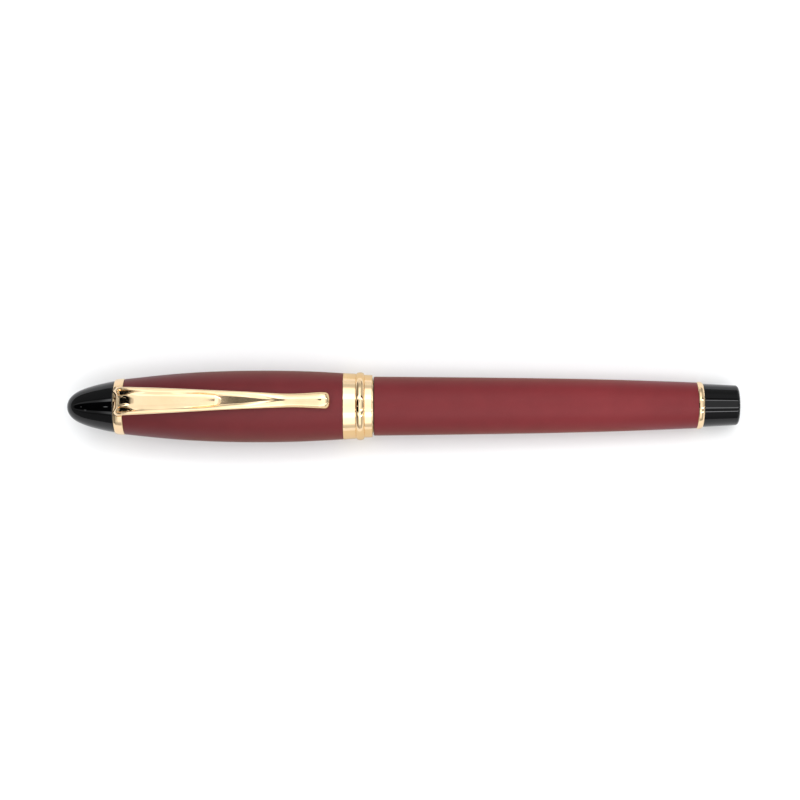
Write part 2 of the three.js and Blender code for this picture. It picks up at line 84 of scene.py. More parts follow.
# ------------------------------------------------------------------ curves
class Spline:
    """Natural cubic spline through (x, y) rows, held level beyond its ends."""

    def __init__(self, rows):
        x, y = np.array(sorted(rows), float).T
        count = len(x)
        gap = np.diff(x)
        slope = np.diff(y) / gap
        matrix = np.zeros((count, count))
        target = np.zeros(count)
        matrix[0, 0] = matrix[-1, -1] = 1
        for i in range(1, count - 1):
            matrix[i, i - 1 : i + 2] = gap[i - 1], 2 * (gap[i - 1] + gap[i]), gap[i]
            target[i] = 6 * (slope[i] - slope[i - 1])
        self.x, self.y, self.gap = x, y, gap
        self.bend = np.linalg.solve(matrix, target)

    def __call__(self, at):
        x, y, bend = self.x, self.y, self.bend
        at = np.clip(np.asarray(at, float), x[0], x[-1])
        i = np.clip(np.searchsorted(x, at) - 1, 0, len(self.gap) - 1)
        gap = self.gap[i]
        after, before = x[i + 1] - at, at - x[i]
        return (
            bend[i] * after**3 / (6 * gap)
            + bend[i + 1] * before**3 / (6 * gap)
            + (y[i] / gap - bend[i] * gap / 6) * after
            + (y[i + 1] / gap - bend[i + 1] * gap / 6) * before
        )


def fitted_polynomial(rows, degree):
    """Least-squares polynomial through (x, y) rows, so that a polished surface has no ripple."""
    x, y = np.array(rows, float).T
    middle, half_span = x.mean(), np.ptp(x) / 2
    factors = np.polyfit((x - middle) / half_span, y, degree)
    return lambda at: np.polyval(factors, (np.asarray(at, float) - middle) / half_span)


def smooth(start, end, x):
    """0 before start, 1 after end, with a smooth step between."""
    t = np.clip((np.asarray(x, float) - start) / (end - start), 0, 1)
    return t * t * (3 - 2 * t)


def window(x, start, end, ramp):
    """1 between start and end, falling smoothly to 0 over the ramp inside each."""
    return smooth(start, start + ramp, x) * (1 - smooth(end - ramp, end, x))


def trace(curve, stations):
    """Outline points of a curve at the given stations."""
    return [(x, float(curve(x))) for x in stations]


def rounded(points, steps=5):
    """A closed outline of (x, radius) or (x, radius, fillet): each fillet becomes an arc.

    Where a slice follows the call, an end point only gives the direction of a side.
    """
    out = []
    for i, point in enumerate(points):
        if len(point) < 3 or not point[2]:
            out.append((point[0], point[1]))
            continue
        corner = np.array(point[:2], float)
        back = np.array(points[i - 1][:2], float) - corner
        ahead = np.array(points[(i + 1) % len(points)][:2], float) - corner
        back_length, ahead_length = np.linalg.norm(back), np.linalg.norm(ahead)
        back, ahead = back / back_length, ahead / ahead_length
        angle = math.acos(max(-1, min(1, float(back @ ahead))))
        if angle > math.pi - 0.02:
            out.append((point[0], point[1]))
            continue
        cut = min(point[2] / math.tan(angle / 2), back_length * 0.48, ahead_length * 0.48)
        radius = cut * math.tan(angle / 2)
        middle = (back + ahead) / np.linalg.norm(back + ahead)
        centre = corner + middle * radius / math.sin(angle / 2)
        start, end = corner + back * cut - centre, corner + ahead * cut - centre
        sweep = math.acos(max(-1, min(1, float(start @ end) / radius**2)))
        if start[0] * end[1] - start[1] * end[0] <= 0:
            sweep = -sweep
        for k in range(steps + 1):
            sine, cosine = math.sin(sweep * k / steps), math.cos(sweep * k / steps)
            x = centre[0] + start[0] * cosine - start[1] * sine
            y = centre[1] + start[0] * sine + start[1] * cosine
            out.append((float(x), max(0.0, float(y))))
    return out


# ------------------------------------------------------------------ meshes
def link_object(name, mesh):
    ob = bpy.data.objects.new(name, mesh)
    bpy.context.scene.collection.objects.link(ob)
    return ob


def shade_smooth(mesh, sharp):
    mesh.polygons.foreach_set("use_smooth", [True] * len(mesh.polygons))
    mesh.set_sharp_from_angle(angle=math.radians(sharp))


def mesh_object(name, verts, faces, sharp):
    """A closed mesh with outward normals from millimetre points."""
    mesh = bpy.data.meshes.new(name)
    mesh.from_pydata([tuple(np.asarray(v) * MM) for v in verts], [], faces)
    mesh.validate()
    bm = bmesh.new()
    bm.from_mesh(mesh)
    bmesh.ops.remove_doubles(bm, verts=bm.verts, dist=1e-7)
    bmesh.ops.recalc_face_normals(bm, faces=bm.faces)
    if bm.calc_volume(signed=True) < 0:
        bmesh.ops.reverse_faces(bm, faces=bm.faces)
    bm.to_mesh(mesh)
    bm.free()
    shade_smooth(mesh, sharp)
    return link_object(name, mesh)


def hold_corners(points):
    """Add points just inside straight runs that meet a bend, so that shading keeps them straight."""
    count = len(points)
    out = []
    for i in range(count):
        start, end = np.array(points[i]), np.array(points[(i + 1) % count])
        before, after = np.array(points[i - 1]), np.array(points[(i + 2) % count])
        run = float(np.linalg.norm(end - start))
        out.append(points[i])
        if run < 0.15 or min(start[1], end[1]) < TINY:
            continue
        along = (end - start) / run
        bends = []
        for side in (start - before, after - end):
            length = float(np.linalg.norm(side))
            bends.append(
                length > 1e-9
                and math.acos(max(-1, min(1, float(along @ side) / length))) > math.radians(2.5)
            )
        if bends[0]:
            out.append(tuple(start + along * CORNER_HOLD))
        if bends[1]:
            out.append(tuple(end - along * CORNER_HOLD))
    return out


def revolve(name, outline, segments=SEGMENTS, radial=None, sharp=SHARP_ANGLE):
    """A solid of revolution about X. radial(x, radius, angle) may move each point."""
    points = []
    for p in outline:
        if not points or math.hypot(p[0] - points[-1][0], p[1] - points[-1][1]) > 1e-5:
            points.append((float(p[0]), float(p[1])))
    if math.hypot(points[0][0] - points[-1][0], points[0][1] - points[-1][1]) < 1e-5:
        points.pop()
    verts, rows = [], []
    for x, radius in hold_corners(points):
        if radius < TINY:
            rows.append([len(verts)] * segments)
            verts.append((x, 0, 0))
            continue
        rows.append(range(len(verts), len(verts) + segments))
        for k in range(segments):
            angle = 2 * math.pi * (k + 0.5) / segments
            moved = radial(x, radius, angle) if radial else radius
            verts.append((x, moved * math.sin(angle), moved * math.cos(angle)))
    faces = []
    for i, row in enumerate(rows):
        following = rows[(i + 1) % len(rows)]
        for k in range(segments):
            after = (k + 1) % segments
            corners = [row[k], row[after], following[after], following[k]]
            corners = [v for j, v in enumerate(corners) if v not in corners[:j]]
            if len(corners) > 2:
                faces.append(corners)
    return mesh_object(name, verts, faces, sharp)


def loft(name, sections, sharp):
    """Join equal closed rings of points and cap both ends."""
    count = len(sections[0])
    verts = [p for section in sections for p in section]
    faces = []
    for i in range(len(sections) - 1):
        for k in range(count):
            a, b = i * count + k, i * count + (k + 1) % count
            faces.append([a, b, b + count, a + count])
    faces.append(list(range(count)))
    faces.append([(len(sections) - 1) * count + k for k in range(count)])
    return mesh_object(name, verts, faces, sharp)


def box(name, low, high, bevel=0.0):
    """A box between two opposite corners."""
    bm = bmesh.new()
    bmesh.ops.create_cube(bm, size=1.0)
    for v in bm.verts:
        v.co = Vector([
            (low[i] + high[i]) / 2 * MM + v.co[i] * (high[i] - low[i]) * MM for i in range(3)
        ])
    if bevel:
        bmesh.ops.bevel(
            bm, geom=bm.edges[:], offset=bevel * MM, segments=3, affect="EDGES", profile=0.5
        )
    mesh = bpy.data.meshes.new(name)
    bm.to_mesh(mesh)
    bm.free()
    return link_object(name, mesh)


def boolean(ob, other, operation):
    """Apply an exact boolean to ob and remove the other object."""
    modifier = ob.modifiers.new("b", "BOOLEAN")
    modifier.operation, modifier.object, modifier.solver = operation, other, "EXACT"
    bpy.context.view_layer.update()
    evaluated = ob.evaluated_get(bpy.context.evaluated_depsgraph_get())
    mesh = bpy.data.meshes.new_from_object(evaluated)
    ob.modifiers.clear()
    ob.data = mesh
    bpy.data.objects.remove(other)
    shade_smooth(mesh, SHARP_ANGLE)


# ------------------------------------------------------------------ shader graphs
class Graph:
    """Short ways to add nodes to a tree. A value is a number, a tuple or another node's output."""

    def __init__(self, tree):
        self.tree = tree

    def new(self, kind, **settings):
        node = self.tree.nodes.new(kind)
        for key, value in settings.items():
            setattr(node, key, value)
        return node

    def put(self, socket, value):
        if isinstance(value, (int, float, tuple)):
            socket.default_value = value
        else:
            self.tree.links.new(value, socket)

    def math(self, operation, *values):
        node = self.new("ShaderNodeMath", operation=operation)
        for socket, value in zip(node.inputs, values):
            self.put(socket, value)
        return node.outputs[0]

    def add(self, a, b):
        return self.math("ADD", a, b)

    def subtract(self, a, b):
        return self.math("SUBTRACT", a, b)

    def multiply(self, a, b):
        return self.math("MULTIPLY", a, b)

    def weaken(self, level, mask, share):
        """Take a share off the level where the mask is 1."""
        return self.multiply(level, self.subtract(1.0, self.multiply(mask, share)))

    def blend(self, base, level, mask):
        """base where the mask is 0, level where it is 1."""
        kept = self.multiply(base, self.subtract(1.0, mask))
        return self.add(kept, self.multiply(mask, level))

    def remap(self, value, low, high, to_low=0.0, to_high=1.0, interpolation="LINEAR"):
        node = self.new("ShaderNodeMapRange", clamp=True, interpolation_type=interpolation)
        limits = {"From Min": low, "From Max": high, "To Min": to_low, "To Max": to_high}
        for key, limit in limits.items():
            node.inputs[key].default_value = limit
        self.put(node.inputs["Value"], value)
        return node.outputs["Result"]

    def step(self, value, start, end):
        return self.remap(value, start, end, interpolation="SMOOTHSTEP")

    def band(self, value, low, high, soft):
        """1 between low and high, falling off over soft."""
        rise = self.step(value, low - soft, low + soft)
        return self.subtract(rise, self.step(value, high - soft, high + soft))


class Material(Graph):
    def __init__(self, name):
        self.material = bpy.data.materials.new(name)
        self.material.use_nodes = True
        super().__init__(self.material.node_tree)
        self.coord = self.new("ShaderNodeTexCoord").outputs["Object"]

    def scaled(self, *scale):
        node = self.new("ShaderNodeMapping")
        node.inputs["Scale"].default_value = scale
        self.put(node.inputs["Vector"], self.coord)
        return node.outputs["Vector"]

    def noise(self, scale, detail=3.0, roughness=0.5, vector=None):
        node = self.new("ShaderNodeTexNoise")
        node.inputs["Scale"].default_value = scale
        node.inputs["Detail"].default_value = detail
        node.inputs["Roughness"].default_value = roughness
        self.put(node.inputs["Vector"], vector or self.coord)
        return node.outputs["Fac"]

    def spread(self, noise, low=0.0, high=1.0):
        """Stretch the middle range of a noise over low to high."""
        return self.remap(noise, 0.3, 0.7, low, high)

    def mix(self, factor, a, b, blend_type="MIX"):
        node = self.new("ShaderNodeMix", data_type="RGBA", blend_type=blend_type)
        self.put(node.inputs["Factor"], factor)
        for socket, color in ((node.inputs[6], a), (node.inputs[7], b)):
            self.put(socket, (*color, 1) if isinstance(color, tuple) else color)
        return node.outputs[2]

    def mottle(self, noise, a, b):
        return self.mix(self.spread(noise), a, b)

    def bump(self, height, strength, distance, normal=None):
        node = self.new("ShaderNodeBump")
        node.inputs["Strength"].default_value = strength
        node.inputs["Distance"].default_value = distance
        self.put(node.inputs["Height"], height)
        if normal is not None:
            self.put(node.inputs["Normal"], normal)
        return node.outputs["Normal"]

    def finish(self, color, roughness, normal, **inputs):
        """Set the surface's inputs; ior, specular, metallic and so on are optional."""
        names = {
            "ior": "IOR", "specular": "Specular IOR Level", "metallic": "Metallic",
            "transmission": "Transmission Weight", "sheen": "Sheen Weight",
            "sheen_roughness": "Sheen Roughness", "sheen_tint": "Sheen Tint",
        }
        surface = self.tree.nodes["Principled BSDF"].inputs
        self.put(surface["Base Color"], color)
        self.put(surface["Roughness"], roughness)
        self.put(surface["Normal"], normal)
        for key, value in inputs.items():
            self.put(surface[names[key]], value)
        return self.material


def tinted(color, *factors):
    """A colour times one factor, or one factor for each channel."""
    return tuple(c * f for c, f in zip(color, factors * 3 if len(factors) == 1 else factors))


# ------------------------------------------------------------------ materials
def lacquer():
    """Satin burgundy lacquer: fine grain, a very slight mottle, a soft haze, and painted shade and
    light along the pen.
    """
    m = Material("satin_burgundy_lacquer")
    grain = m.noise(9000, detail=2.0, roughness=0.6)
    fleck = m.noise(3600, detail=1.0)
    cloud = m.noise(260, roughness=0.55)
    base = m.mottle(cloud, (0.164, 0.0134, 0.0168), (0.182, 0.0154, 0.0192))
    flecked = m.mix(m.remap(fleck, 0.62, 0.80, to_high=0.22), base, (0.25, 0.036, 0.040))
    # painted shade and light along the pen: darkest at the cap's clip end, then (from x, to x,
    # change)
    split = m.new("ShaderNodeSeparateXYZ")
    m.put(split.inputs["Vector"], m.coord)
    x = split.outputs["X"]
    tone = m.multiply(m.remap(x, -0.118, -0.088, 0.63, 0.79), 1.0)
    painted_light_changes = ((-0.0752, -0.0751, 0.07), (-0.062, -0.030, 0.17), (-0.026, -0.012, -0.09))
    for start, end, change in painted_light_changes:
        tone = m.add(tone, m.remap(x, start, end, to_high=change))
    # painted shade: the barrel's mouth edge, where it shows in the gap beside the band's lip, is
    # darkened
    edge = m.multiply(
        m.remap(x, -0.07510, -0.07505), m.remap(x, -0.07480, -0.07476, to_low=1.0, to_high=0.0)
    )
    tone = m.weaken(tone, edge, share=0.90)
    # the painted shade and light, as a grey that multiplies the colour
    grey = m.new("ShaderNodeCombineColor")
    for channel in ("Red", "Green", "Blue"):
        m.put(grey.inputs[channel], tone)
    color = m.mix(1.0, flecked, grey.outputs["Color"], blend_type="MULTIPLY")
    roughness = m.spread(grain, 0.38, 0.48)
    normal = m.bump(grain, strength=0.22, distance=0.00002)
    normal = m.bump(m.noise(1500, detail=2.0), strength=0.08, distance=0.00004, normal=normal)
    return m.finish(color, roughness, normal, ior=1.5, specular=0.30, sheen=0.005,
                    sheen_roughness=0.45, sheen_tint=(1.0, 0.80, 0.78, 1))


def gloss_black():
    """Polished resin: deep black, hair-fine polishing marks along it, a trace of dust haze."""
    m = Material("polished_black_resin")
    black = (0.0006, 0.0006, 0.0006)
    cloud = m.noise(420)
    scratch = m.noise(1.0, detail=4.0, roughness=0.6, vector=m.scaled(500, 9000, 9000))
    base = m.mottle(cloud, tinted(black, 1, 1, 1.15), tinted(black, 1.8, 1.8, 2.2))
    roughness = m.add(
        m.remap(scratch, 0.45, 0.75, 0.02, 0.05), m.remap(cloud, 0.4, 0.8, to_high=0.015)
    )
    normal = m.bump(cloud, strength=0.02, distance=0.0002)
    return m.finish(base, roughness, normal, ior=1.5, specular=0.40)


def gold():
    """Gold plate: warm, very slightly uneven, with hairline polishing marks."""
    m = Material("polished_gold_plate")
    tint = (0.965, 0.715, 0.425)
    cloud = m.noise(300)
    hair = m.noise(1.0, detail=5.0, roughness=0.65, vector=m.scaled(900, 14000, 14000))
    base = m.mottle(cloud, tinted(tint, 0.97), tinted(tint, 1.02, 1.03, 1.08))
    roughness = m.add(
        m.remap(cloud, 0.3, 0.75, 0.05, 0.08), m.remap(hair, 0.45, 0.8, to_high=0.06)
    )
    normal = m.bump(cloud, strength=0.015, distance=0.0004)
    normal = m.bump(hair, strength=0.03, distance=0.00001, normal=normal)
    return m.finish(base, roughness, normal, metallic=1.0)


def turned_brass():
    """Machined brass: fine rings left by the tool round the axis, and dull patches."""
    m = Material("turned_brass")
    tint = (0.78, 0.56, 0.26)
    rings = m.noise(1.0, roughness=0.6, vector=m.scaled(16000, 400, 400))
    cloud = m.noise(500, roughness=0.6)
    base = m.mottle(cloud, tinted(tint, 0.85), tint)
    roughness = m.add(m.spread(rings, 0.18, 0.34), m.remap(cloud, 0.4, 0.8, to_high=0.1))
    normal = m.bump(rings, strength=0.25, distance=0.00002)
    return m.finish(base, roughness, normal, metallic=1.0)


def moulded(name, tone, roughness):
    """Injection-moulded plastic: a fine spark-eroded texture and a faint flow mottle."""
    m = Material(name)
    fine = m.noise(7000, detail=2.0, roughness=0.6)
    flow = m.noise(1.0, vector=m.scaled(120, 500, 500))
    base = m.mottle(flow, tinted(tone, 0.85), tinted(tone, 1.15))
    uneven = m.spread(fine, roughness - 0.06, roughness + 0.08)
    return m.finish(base, uneven, m.bump(fine, strength=0.25, distance=0.00002), ior=1.49)


def tip_alloy():
    m = Material("hard_tip_alloy")
    grain = m.noise(9000, detail=2.0, roughness=0.6)
    base = m.mottle(grain, (0.58, 0.58, 0.60), (0.74, 0.74, 0.75))
    normal = m.bump(grain, strength=0.1, distance=0.00001)
    return m.finish(base, m.spread(grain, 0.12, 0.24), normal, metallic=1.0)


def clear():
    """Clear moulded tube with a trace of moulding haze."""
    m = Material("clear_plastic")
    flow = m.noise(1.0, vector=m.scaled(200, 900, 900))
    base = m.mottle(flow, (0.90, 0.94, 0.95), (0.97, 0.99, 1.0))
    normal = m.bump(flow, strength=0.04, distance=0.0001)
    return m.finish(base, m.spread(flow, 0.03, 0.08), normal, ior=1.49, transmission=1.0)


MATERIALS = {
    "lacquer": lacquer(),
    "black_gloss": gloss_black(),
    "black_matte": moulded("moulded_black", tone=(0.012, 0.012, 0.013), roughness=0.42),
    "gold": gold(),
    "brass": turned_brass(),
    "tip_alloy": tip_alloy(),
    "clear": clear(),
    "grey": moulded("moulded_grey", tone=(0.36, 0.37, 0.38), roughness=0.38),
}
SLOT_OF = {s["node"]: s["material_slot"] for s in frame["record"]["subparts"]}
BODY_OF = {n: body for body, ns in frame["record"]["behaviour"]["bodies"].items() for n in ns}


def stand_for(ob, node):
    """The finished piece takes the CAD node's place, rides on its body and takes its slot."""
    slot = SLOT_OF[node]
    ob.data.materials.clear()
    ob.data.materials.append(MATERIALS[slot])
    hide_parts(node)
    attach(ob, BODY_OF[node])


def turned(node, outline, segments=SEGMENTS, radial=None, sharp=SHARP_ANGLE):
    """A finished piece that is only a solid of revolution."""
    stand_for(revolve(f"{node}_fine", outline, segments, radial, sharp), node)


# ================================================================== outer shells
# finial: (distance from the tip, radius)
FINIAL = [
    (0.53, 1.70), (1.15, 2.39), (1.76, 2.87), (2.38, 3.21), (3.0, 3.49), (3.62, 3.73),
    (4.23, 3.94), (4.85, 4.15), (5.47, 4.34), (6.09, 4.50), (6.71, 4.67), (7.32, 4.81),
    (7.94, 4.94), (8.56, 5.06), (9.18, 5.17), (10.0, 5.31),
]
FINIAL_LENGTH = 9.97
# cap and barrel: (x, radius)
CAP = [
    (-126, 5.70), (-125.7, 5.72), (-124.5, 5.85), (-123.25, 6.0), (-122, 6.13), (-120.8, 6.26),
    (-119.5, 6.385), (-118.3, 6.49), (-117.1, 6.61), (-115.8, 6.735), (-113.4, 6.90),
    (-110.9, 7.055), (-108.4, 7.17), (-105.95, 7.26), (-103.5, 7.32), (-101, 7.355),
    (-98.54, 7.375), (-96.07, 7.37), (-93.6, 7.34), (-91.1, 7.285), (-88.65, 7.20),
    (-86.2, 7.105), (-83.7, 6.97), (-82.5, 6.89), (-81.2, 6.81),
]
BARREL = [
    (-73.5, 6.066), (-68.1, 5.99), (-63.1, 5.95), (-58.2, 5.91), (-53.2, 5.85), (-48.3, 5.78),
    (-43.3, 5.685), (-38.4, 5.62), (-33.45, 5.51), (-28.5, 5.417), (-23.56, 5.29),
    (-18.6, 5.09), (-13.7, 4.90), (-9.8, 4.77), (-8.4, 4.72),
]


def cap_finial():
    """The radius squared is a polynomial in the distance from the tip, so the nose is round."""

    def powers(distance):
        return np.stack([distance**power for power in (1, 2, 3, 4)], 1)

    distance, radius = np.array(FINIAL).T
    factors = np.linalg.lstsq(powers(distance), radius**2, rcond=None)[0]
    stations = FINIAL_LENGTH * np.linspace(0, 1, 70) ** 1.6
    radii = np.sqrt(np.maximum(powers(stations) @ factors, 0))
    nose = [(FINIAL_TIP + t, r) for t, r in zip(stations, radii)]
    rim_x, rim_radius = nose[-1]
    rim = rounded([nose[-2], (rim_x, rim_radius, 0.12), (rim_x, 2.1)])[1:-1]
    turned("cap_finial", nose[:-1] + rim + [(-128.03, 2.02), (-133, 2.02), (-133, 0)])


def cap_tube():
    radius = fitted_polynomial(CAP, 6)
    side_start, side_end = -125.85, -81.3
    closed_edge = [
        (CAP_END, 2.3), (CAP_END, float(radius(CAP_END)) - 0.02, 0.12),
        (side_start, float(radius(side_start))),
    ]
    lip = [
        (side_end, float(radius(side_end))), (CAP_LIP, float(radius(CAP_LIP)), 0.07),
        (CAP_LIP, 6.4),
    ]
    bore = [
        (CAP_LIP, CAP_BORE), (-84, 6.25), (-91, 6.66), (-97, 6.77), (-103, 6.73), (-109, 6.54),
        (-114, 6.22), (-120, 5.6), (-124.2, 5.15), (-124.2, STUD_BORE), (CAP_END, STUD_BORE),
    ]
    side = trace(radius, np.linspace(side_start, side_end, 110))
    turned("cap_tube", rounded(closed_edge)[1:-1] + side + rounded(lip)[1:-1] + bore, 192)


def barrel_tube():
    radius = fitted_polynomial(BARREL, 5)
    side_start, side_end = -73.9, -8.72
    mouth = [
        (BARREL_MOUTH, 5.32), (BARREL_MOUTH, 5.90, 0.03), (-74.79, 5.90, 0.02),
        (-74.79, 6.01, 0.03), (-74.73, 6.055, 0.04),
        (-74.45, float(radius(-74.45)) - 0.004, 0.20), (side_start, float(radius(side_start))),
    ]
    tail = [
        (side_end, float(radius(side_end))), (BARREL_TAIL, float(radius(BARREL_TAIL)), 0.08),
        (BARREL_TAIL, 4.4),
    ]
    bore = [
        (BARREL_TAIL, TAIL_BORE), (-12.3, TAIL_BORE), (-12.3, 4.1), (-20, 4.5), (-45, 5.1),
        (-64.9, 5.24), (-64.9, 5.32), (BARREL_MOUTH, 5.32),
    ]
    side = trace(radius, np.linspace(side_start, side_end, 120))
    turned("barrel_tube", rounded(mouth, 6)[1:-1] + side + rounded(tail)[1:-1] + bore, 192)


def clip_ring():
    """Ring between the finial and the cap tube, with a slot in its top for the clip's tab."""
    ring = revolve("clip_ring_fine", rounded([
        (-127.97, STUD_BORE), (-127.97, 5.58, 0.14), (-127.5, 5.72, 0.9), (-126.9, 5.785, 1.2),
        (-126.03, 5.80, 0.22), (-126.03, STUD_BORE),
    ], 8))
    boolean(ring, box("slot_cut", (-127.6, -1.3, 3.0), (-126.3, 1.3, 7.0)), "DIFFERENCE")
    stand_for(ring, "clip_ring")


def cap_band():
    """Collar, a broad half-round bead between creases, and a narrow lip."""
    collar = [
        (-81.15, CAP_BORE), (-81.15, 6.845, 0.10), (-78.60, 6.695, 0.07), (-78.53, 6.60, 0.03),
    ]
    bead = [
        (-77.66 + 0.845 * math.cos(a), 6.47 + 0.51 * math.sin(a) ** 0.86)
        for a in np.linspace(math.pi * 0.93, 0.07 * math.pi, 34)
    ]
    lip_and_bore = [
        (-76.80, 6.56), (-76.76, 6.38, 0.03), (-76.68, 6.465, 0.05), (-75.18, 6.40, 0.10),
        (-75.12, 5.88, 0.10), (-75.25, 5.78), (-77.7, 5.78), (-77.7, CAP_BORE),
        (-81.15, CAP_BORE),
    ]
    turned("cap_band", rounded(collar) + bead + rounded(lip_and_bore)[1:], 192)


cap_finial()
cap_tube()
barrel_tube()
clip_ring()
cap_band()
turned("tail_ring", rounded([
    (-8.55, TAIL_BORE), (-8.55, 4.70, 0.10), (-8.40, 4.82, 0.18), (-8.08, 4.885, 0.5),
    (-7.66, 4.84, 0.4), (-7.36, 4.62, 0.15), (-7.36, TAIL_BORE),
], 6))
turned("tail_plug", rounded([
    (-12.2, 0), (-12.2, 1.7, 0.1), (-11.9, 1.98, 0.1), (-7.33, 1.98), (-7.33, 4.45, 0.08),
    (-3.6, 4.27, 6.0), (0.0, 4.075, 0.62), (0.0, 0),
], 12))

# ================================================================== clip
CLIP_START, CLIP_END = -127.62, -83.65
START_CORNER, END_CORNER = 0.75, 1.05  # plan radii of the corners at the two ends
BOTTOM_EDGE = 0.28  # rounding of the lower edges
RING_EDGE = -126.1  # before this x the clip lies on the ring
TOP_STEPS, BOTTOM_STEPS = 52, 8
TONGUE_NOSE, TONGUE_END = -107.0, -105.45

# all tables: (x, value)
clip_half_width = Spline([
    (-128.5, 2.93), (-126, 2.895), (-123, 2.81), (-118, 2.61), (-112, 2.32), (-106, 2.02),
    (-100, 1.745), (-96, 1.575), (-92.5, 1.45), (-89.5, 1.475), (-87, 1.60), (-85, 1.69),
    (-83, 1.73),
])
# crest of the rails: steep from the root, a long shallow arch, a waist, a raised free end
clip_crest = Spline([
    (-128.6, 6.6), (-127.5, 7.18), (-127.1, 7.64), (-126.7, 8.01), (-126.3, 8.22),
    (-125.6, 8.40), (-124.6, 8.55), (-123.4, 8.635), (-122, 8.715), (-120, 8.82),
    (-118, 8.905), (-115, 9.01), (-112, 9.10), (-108, 9.195), (-104, 9.235), (-102, 9.222),
    (-100, 9.178), (-98, 9.108), (-96, 9.034), (-95, 8.997), (-94, 8.967), (-93.2, 8.956),
    (-92.4, 8.972), (-91.5, 9.010), (-90, 9.085), (-89, 9.137), (-88, 9.190), (-87, 9.243),
    (-86.2, 9.284), (-85.75, 9.302), (-85.35, 9.306), (-84.95, 9.292), (-84.5, 9.256),
    (-83.6, 9.13),
])
clip_under = Spline([
    (-126.1, 5.98), (-125.2, 6.55), (-124, 7.0), (-122, 7.44), (-120, 7.70), (-115, 8.02),
    (-110, 8.22), (-105, 8.32), (-100, 8.32), (-95, 8.20), (-92, 8.00), (-89.5, 7.72),
    (-87.5, 7.42), (-86.2, 7.26), (-85.2, 7.2), (-84.4, 7.24), (-83.4, 7.5),
])
# half-width of the hollow between the rails
hollow_half_width = Spline([
    (-128.5, 2.20), (-126, 2.13), (-124, 2.00), (-122, 1.85), (-119.5, 1.76), (-117, 1.69),
    (-112, 1.50), (-109, 1.34), (-107, 1.12), (-104, 0.86), (-100.6, 0.62), (-97.6, 0.28),
    (-95.4, 0.10), (-93.6, 0.0),
])
# half-width of the flat along the tongue's middle
tongue_flat = Spline([
    (-128.5, 0.80), (-124, 0.82), (-120.5, 0.82), (-117, 0.72), (-110, 0.30), (-108.4, 0.08),
    (-105, 0.05),
])
# depth of the hollow below the crest
hollow_depth = Spline([
    (-128.5, 0.56), (-126.3, 0.56), (-124.5, 0.44), (-122.8, 0.31), (-120.5, 0.20),
    (-117, 0.165), (-113, 0.21), (-109.5, 0.31), (-107, 0.30), (-104, 0.27), (-98, 0.135),
    (-95, 0.05), (-93.2, 0.01), (-92, 0.0), (-83, 0.0),
])


def end_corners(x):
    """(distance from the end, corner radius) for both ends."""
    return (x - CLIP_START, START_CORNER), (CLIP_END - x, END_CORNER)


def depth_inside(x, across):
    """Distance inside the plan outline, whose four corners are rounded."""
    depth = 1e9
    for from_end, corner in end_corners(x):
        past_y, past_x = across - (clip_half_width(x) - corner), corner - from_end
        outside = np.hypot(np.maximum(past_y, 0), np.maximum(past_x, 0))
        inside = np.minimum(np.maximum(past_y, past_x), 0)
        depth = np.minimum(depth, corner - (outside + inside))
    return np.maximum(depth, 0)


def outline_half_width(x):
    """Half-width of the plan outline at x, closing round the corners."""
    half = float(clip_half_width(x))
    for from_end, corner in end_corners(x):
        if from_end < corner:
            half += math.sqrt(max(corner**2 - (corner - from_end) ** 2, 0)) - corner
    return half


def sag(y, radius):
    """Fall of a circle's top at y."""
    return radius - np.sqrt(radius**2 - y * y)


def edge_fall(depth, radius):
    """Fall of a rounded edge at a depth inside the outline."""
    fall = radius - np.sqrt(np.maximum(radius**2 - (radius - depth) ** 2, 0))
    return np.where(depth < radius, fall, 0)


def underside(x, y):
    """Follows the ring at the root and flattens over the next 8 mm."""
    fall = sag(y, 5.94)
    if x < RING_EDGE:
        return 5.98 - fall
    flattened = min(1, (x - RING_EDGE) / 8)
    return clip_under(x) - fall * (1 - flattened) * 0.75


def tongue_half_width(x, hollow, root):
    """The tongue widens from the root to fill the hollow and ends in a round nose."""
    if x < TONGUE_NOSE:
        spread = smooth(-125.6, -122.6, x)
        return 1.30 * (1 - spread) + (hollow - 0.04) * spread
    if x < TONGUE_END:
        along = (x - TONGUE_NOSE) / (TONGUE_END - TONGUE_NOSE)
        return (hollow + 0.02) * math.sqrt(max(0.0, 1 - along**2))
    return 0.0


def tongue_height(x, across, width, depth, root):
    """Flat in the middle, falling to shoulders; near the root a pointed hollow between ridges."""
    flat = min(max(tongue_flat(x), 0.04), width * 0.7)
    sink = min(0.14 - 0.13 * smooth(-121.0, -107.5, x), depth * 0.8)
    steep = max(root, smooth(-113.5, -109.5, x))
    shoulder = width * (0.72 + 0.08 * steep)
    # the pointed hollow closes over 3.1 mm
    remaining = 1 - np.clip((x + 126.3) / 3.1, 0, 1)
    scoop_flat = 0.66 * shoulder * remaining**0.6
    scoop_depth = 0.13 * remaining
    scoop = np.clip((across - scoop_flat) / max(shoulder * 0.97 - scoop_flat, 1e-3), 0, 1)
    side = np.clip((across - flat) / max(shoulder - flat, 1e-3), 0, 1)
    side_fall = 0.055 * (1 - root)
    top = -sink - scoop_depth * (1 - scoop * scoop * (3 - 2 * scoop)) - side_fall * side**2
    # beyond the shoulder it drops to the hollow's floor, in a rounder curve where steep
    outer = np.clip((across - shoulder) / (width - shoulder), 0, 1)
    round_fall = 1 - np.sqrt(np.clip(1 - outer**1.9, 0, 1))
    fall = max(depth - sink - side_fall, 0) * ((1 - steep) * outer**2 + steep * round_fall)
    height = np.where(across < shoulder, top, -sink - side_fall - fall)
    nose = np.clip((TONGUE_END - x) / 1.4, 0, 1) ** 0.5
    return np.maximum(-depth + (height + depth) * nose, -depth)


